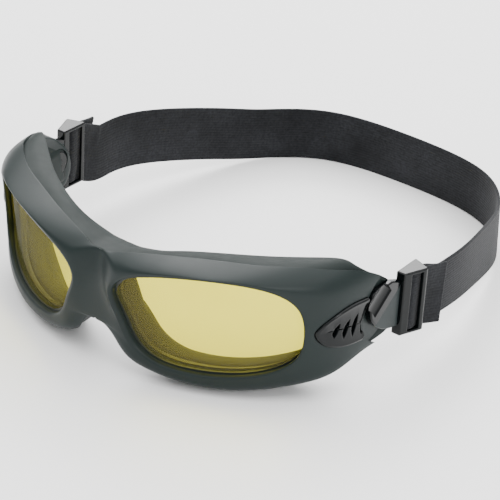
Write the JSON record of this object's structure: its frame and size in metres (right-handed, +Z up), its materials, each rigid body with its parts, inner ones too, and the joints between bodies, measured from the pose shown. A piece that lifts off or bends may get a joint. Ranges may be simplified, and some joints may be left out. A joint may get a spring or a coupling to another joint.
{
  "type": "safety goggles",
  "caption": "Wrap-around welding goggles with tinted lenses, soft face seal, vented temples, and an elastic head strap held by ladder buckles on swinging arms.",
  "frame": {"origin": "middle of the bounding box at the base, where the face seal's cheek edges and the strap rest", "axes": "+X towards the wearer's left, +Y towards the back of the head, +Z up"},
  "size_m": [0.1834, 0.2244, 0.0582],
  "materials": {
    "frame_plastic": "satin moulded",
    "seal_elastomer": "soft matte elastomer",
    "amber_lens": "polished, amber tint",
    "gasket_rubber": "matte",
    "gloss_black": "polished moulded",
    "filter_foam": "open cell foam",
    "strap_elastic": "ribbed woven elastic"
  },
  "bodies": {
    "frame": {"front_frame": "frame_plastic", "face_seal": "seal_elastomer", "lens_left": "amber_lens", "lens_right": "amber_lens", "lens_gasket_left": "gasket_rubber", "lens_gasket_right": "gasket_rubber", "vent_cover_left": "gloss_black", "vent_cover_right": "gloss_black", "vent_filter_left": "filter_foam", "vent_filter_right": "filter_foam"},
    "strap": {"strap_band": "strap_elastic"},
    "arm_left": {"strap_arm_left": "gloss_black", "pivot_cap_left": "gloss_black", "buckle_left": "gloss_black", "strap_bar_left": "gloss_black"},
    "arm_right": {"strap_arm_right": "gloss_black", "pivot_cap_right": "gloss_black", "buckle_right": "gloss_black", "strap_bar_right": "gloss_black"}
  },
  "joints": [
    {"name": "strap_swing", "type": "hinge", "parent": "frame", "child": "strap", "pos_m": [0, -0.03527, 0.0326], "axis": [1, 0, 0], "range_deg": [-20, 30]},
    {"name": "arm_left_pivot", "type": "hinge", "parent": "frame", "child": "arm_left", "pos_m": [0.082, -0.03527, 0.0326], "axis": [1, 0, 0], "range_deg": [-20, 30]},
    {"name": "arm_right_pivot", "type": "hinge", "parent": "frame", "child": "arm_right", "pos_m": [-0.082, -0.03527, 0.0326], "axis": [1, 0, 0], "range_deg": [-20, 30]}
  ],
  "couplings": [
    {"joint": "arm_left_pivot", "follows": "strap_swing", "ratio": 1},
    {"joint": "arm_right_pivot", "follows": "strap_swing", "ratio": 1}
  ]
}
